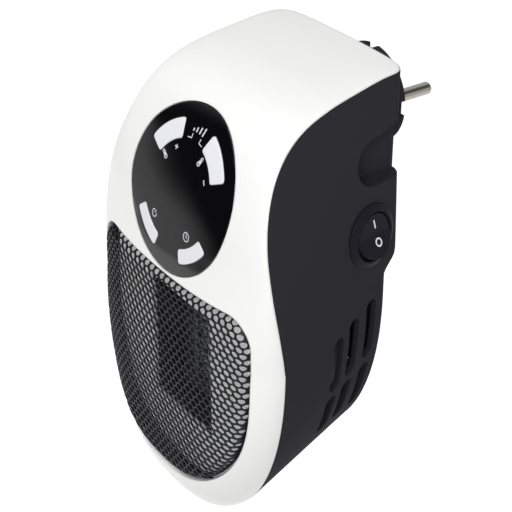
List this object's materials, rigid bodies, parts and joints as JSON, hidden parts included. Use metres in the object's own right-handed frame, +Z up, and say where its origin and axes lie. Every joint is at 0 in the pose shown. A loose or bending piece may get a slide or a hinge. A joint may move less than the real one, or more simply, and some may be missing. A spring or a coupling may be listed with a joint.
{
  "type": "fan heater",
  "caption": "Plug-in fan heater with a tapered dark body under a gloss white shell, a round control panel, a bulging wire-mesh outlet, a side rocker switch and a swivelling wall plug.",
  "frame": {"origin": "centre of the plug's face, midway between its two pins", "axes": "+Y out of the plug's face towards the wall, +Z up, +X to the heater's right side, where the rocker switch is"},
  "size_m": [0.113, 0.1166, 0.1772],
  "materials": {
    "gloss_white": "gloss white",
    "matt_black": "fine matt charcoal",
    "gloss_black": "gloss black lens",
    "button_grey": "pale grey satin",
    "grille_black": "satin black paint on steel",
    "white_plastic": "plain white",
    "dark_plastic": "plain black",
    "steel": "nickel plate",
    "brass": "bare brass",
    "aluminium": "bare aluminium",
    "ceramic": "heat-proof moulding",
    "board": "green circuit board",
    "copper": "copper winding",
    "yellow": "yellow tape wrap",
    "lead_red": "red insulation"
  },
  "bodies": {
    "plug": {"plug_body": "matt_black", "plug_pin_1": "steel", "plug_pin_2": "steel", "earth_clip_1": "brass", "earth_clip_2": "brass", "plug_retainer": "white_plastic", "retainer_screw_1": "steel", "retainer_screw_2": "steel"},
    "housing": {"front_shell": "gloss_white", "control_panel": "gloss_black", "warmer_push_switch": "dark_plastic", "cooler_push_switch": "dark_plastic", "power_push_switch": "dark_plastic", "timer_push_switch": "dark_plastic", "control_board": "board", "number_display": "dark_plastic", "control_screw_1": "steel", "control_screw_2": "steel", "outlet_grille": "grille_black", "outlet_baffle": "white_plastic", "heater_duct": "dark_plastic", "upper_element_holder": "ceramic", "lower_element_holder": "ceramic", "ceramic_bar_1": "aluminium", "ceramic_bar_2": "aluminium", "ceramic_bar_3": "aluminium", "fin_pack_1": "aluminium", "fin_pack_2": "aluminium", "fin_pack_3": "aluminium", "fin_pack_4": "aluminium", "thermal_cutout": "dark_plastic", "fan_frame": "dark_plastic", "fan_stator": "copper", "fan_screw_1": "steel", "fan_screw_2": "steel", "rear_body": "matt_black", "case_screw_1": "steel", "case_screw_2": "steel", "case_screw_3": "steel", "switch_housing": "dark_plastic", "switch_terminal_1": "brass", "switch_terminal_2": "brass", "main_board": "board", "board_screw_1": "steel", "board_screw_2": "steel", "transformer_block": "yellow", "relay": "dark_plastic", "capacitor": "aluminium", "plug_lead": "lead_red", "switch_lead": "lead_red", "heater_lead": "lead_red", "fan_lead": "lead_red"},
    "warmer": {"warmer_button": "button_grey"},
    "cooler": {"cooler_button": "button_grey"},
    "power": {"power_button": "button_grey"},
    "timer": {"timer_button": "button_grey"},
    "rocker_switch": {"rocker": "dark_plastic"},
    "fan": {"fan_rotor": "dark_plastic"}
  },
  "joints": [
    {"name": "plug_turn", "type": "hinge", "parent": "plug", "child": "housing", "pos_m": [0, 0, 0], "axis": [0, 1, 0], "range_deg": [-90, 90]},
    {"name": "warmer_press", "type": "slide", "parent": "housing", "child": "warmer", "axis": [0, 0.9317, -0.3632], "range_m": [0, 0.0005], "stiffness_N_per_m": 900},
    {"name": "cooler_press", "type": "slide", "parent": "housing", "child": "cooler", "axis": [0, 0.9317, -0.3632], "range_m": [0, 0.0005], "stiffness_N_per_m": 900},
    {"name": "power_press", "type": "slide", "parent": "housing", "child": "power", "axis": [0, 0.9317, -0.3632], "range_m": [0, 0.0005], "stiffness_N_per_m": 900},
    {"name": "timer_press", "type": "slide", "parent": "housing", "child": "timer", "axis": [0, 0.9317, -0.3632], "range_m": [0, 0.0005], "stiffness_N_per_m": 900},
    {"name": "rocker_turn", "type": "hinge", "parent": "housing", "child": "rocker_switch", "pos_m": [0.04141, -0.03249, -0.03156], "axis": [-0.2225, 0.9749, 0], "range_deg": [0, 24]},
    {"name": "fan_spin", "type": "hinge", "parent": "housing", "child": "fan", "pos_m": [0, -0.04, -0.0845], "axis": [0, 1, 0], "continuous": true}
  ]
}
